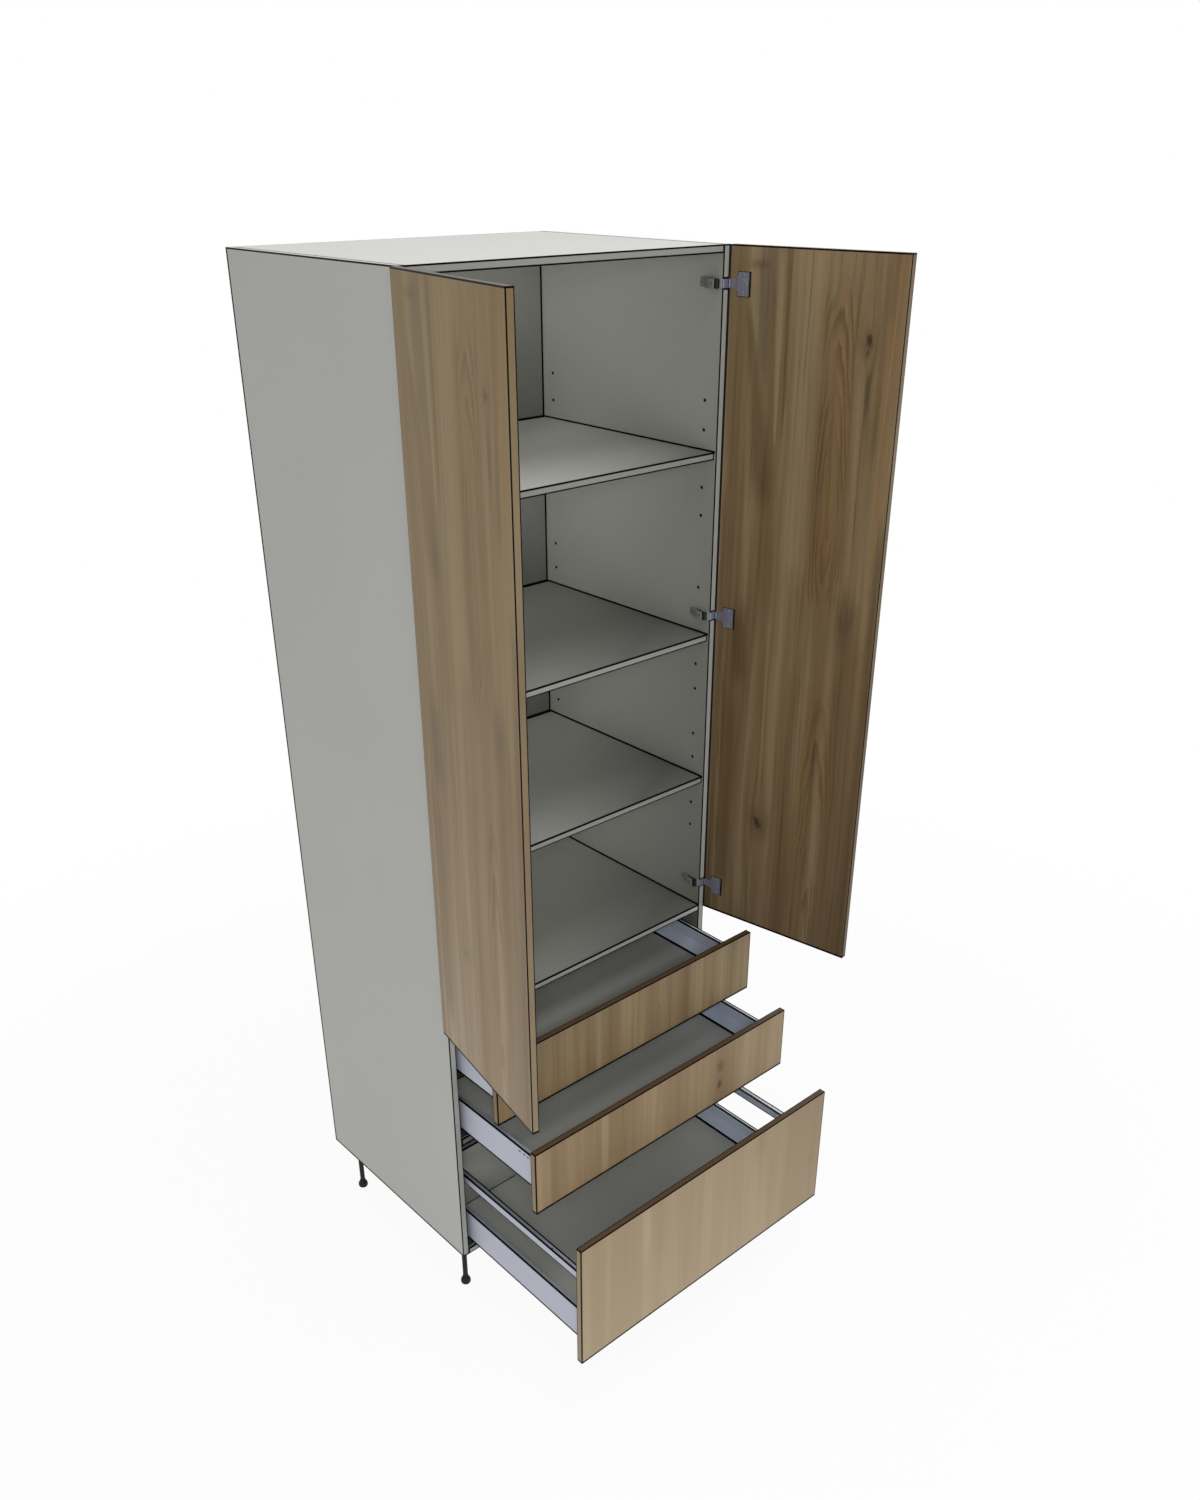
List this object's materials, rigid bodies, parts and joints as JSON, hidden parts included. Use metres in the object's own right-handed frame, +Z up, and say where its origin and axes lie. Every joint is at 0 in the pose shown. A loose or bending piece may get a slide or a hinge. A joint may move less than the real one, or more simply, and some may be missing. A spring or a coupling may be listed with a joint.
{
  "type": "tall pantry cabinet",
  "caption": "Tall kitchen pantry cabinet with overlay hinged doors over shelves and full-extension drawers below: grey carcass, wood-grain fronts, black legs.",
  "frame": {"origin": "on the floor, under the middle of the whole object with its drawers pulled out as stored", "axes": "+Z up, -Y out of the cabinet's open front, +X to the right as one faces the open front"},
  "size_m": [0.9656, 1.016, 2.364],
  "materials": {
    "laminate": "matte light grey melamine on chipboard",
    "veneer": "satin, vertical grain with knots",
    "coated_steel": "satin grey coating",
    "zinc_steel": "dull zinc plate",
    "nickel": "satin nickel plate",
    "black_plastic": "fine matte texture"
  },
  "bodies": {
    "cabinet": {"back_panel": "laminate", "bottom_panel": "laminate", "fixed_shelf": "laminate", "top_panel": "laminate", "left_side": "laminate", "right_side": "laminate", "stretcher_rail": "laminate", "lower_shelf": "laminate", "middle_shelf": "laminate", "upper_shelf": "laminate", "leg_front_left": "black_plastic", "leg_front_right": "black_plastic", "leg_back_left": "black_plastic", "leg_back_right": "black_plastic", "left_hinge_arm_top": "nickel", "left_hinge_arm_middle": "nickel", "left_hinge_arm_bottom": "nickel", "right_hinge_arm_top": "nickel", "right_hinge_arm_middle": "nickel", "right_hinge_arm_bottom": "nickel", "top_left_runner": "zinc_steel", "top_right_runner": "zinc_steel", "middle_left_runner": "zinc_steel", "middle_right_runner": "zinc_steel", "bottom_left_runner": "zinc_steel", "bottom_right_runner": "zinc_steel"},
    "left_door": {"left_door": "veneer", "left_hinge_leaf_top": "nickel", "left_hinge_leaf_middle": "nickel", "left_hinge_leaf_bottom": "nickel"},
    "right_door": {"right_door": "veneer", "right_hinge_leaf_top": "nickel", "right_hinge_leaf_middle": "nickel", "right_hinge_leaf_bottom": "nickel"},
    "top_drawer": {"top_drawer_front": "veneer", "top_drawer_bottom": "laminate", "top_drawer_back": "laminate", "top_drawer_left_side": "coated_steel", "top_drawer_right_side": "coated_steel"},
    "middle_drawer": {"middle_drawer_front": "veneer", "middle_drawer_bottom": "laminate", "middle_drawer_back": "laminate", "middle_drawer_left_side": "coated_steel", "middle_drawer_right_side": "coated_steel"},
    "bottom_drawer": {"bottom_drawer_front": "veneer", "bottom_drawer_bottom": "laminate", "bottom_drawer_back": "laminate", "bottom_drawer_left_side": "coated_steel", "bottom_drawer_right_side": "coated_steel", "left_gallery_rail": "coated_steel", "right_gallery_rail": "coated_steel"},
    "top_slides": {"top_left_slide": "zinc_steel", "top_right_slide": "zinc_steel"},
    "middle_slides": {"middle_left_slide": "zinc_steel", "middle_right_slide": "zinc_steel"},
    "bottom_slides": {"bottom_left_slide": "zinc_steel", "bottom_right_slide": "zinc_steel"}
  },
  "joints": [
    {"name": "left_door_hinge", "type": "hinge", "parent": "cabinet", "child": "left_door", "pos_m": [-0.39954, -0.0755, 1.596], "axis": [0, 0, -1], "range_deg": [-100, 10]},
    {"name": "right_door_hinge", "type": "hinge", "parent": "cabinet", "child": "right_door", "pos_m": [0.39954, -0.0755, 1.596], "axis": [0, 0, 1], "range_deg": [-100, 10]},
    {"name": "top_drawer_travel", "type": "slide", "parent": "cabinet", "child": "top_drawer", "axis": [0, -1, 0], "range_m": [-0.148, 0.352]},
    {"name": "middle_drawer_travel", "type": "slide", "parent": "cabinet", "child": "middle_drawer", "axis": [0, -1, 0], "range_m": [-0.273, 0.227]},
    {"name": "bottom_drawer_travel", "type": "slide", "parent": "cabinet", "child": "bottom_drawer", "axis": [0, -1, 0], "range_m": [-0.418, 0.082]},
    {"name": "top_slides_travel", "type": "slide", "parent": "cabinet", "child": "top_slides", "axis": [0, -1, 0], "range_m": [-0.074, 0.176]},
    {"name": "middle_slides_travel", "type": "slide", "parent": "cabinet", "child": "middle_slides", "axis": [0, -1, 0], "range_m": [-0.1365, 0.1135]},
    {"name": "bottom_slides_travel", "type": "slide", "parent": "cabinet", "child": "bottom_slides", "axis": [0, -1, 0], "range_m": [-0.209, 0.041]}
  ],
  "couplings": [
    {"joint": "top_slides_travel", "follows": "top_drawer_travel", "ratio": 0.5},
    {"joint": "middle_slides_travel", "follows": "middle_drawer_travel", "ratio": 0.5},
    {"joint": "bottom_slides_travel", "follows": "bottom_drawer_travel", "ratio": 0.5}
  ]
}
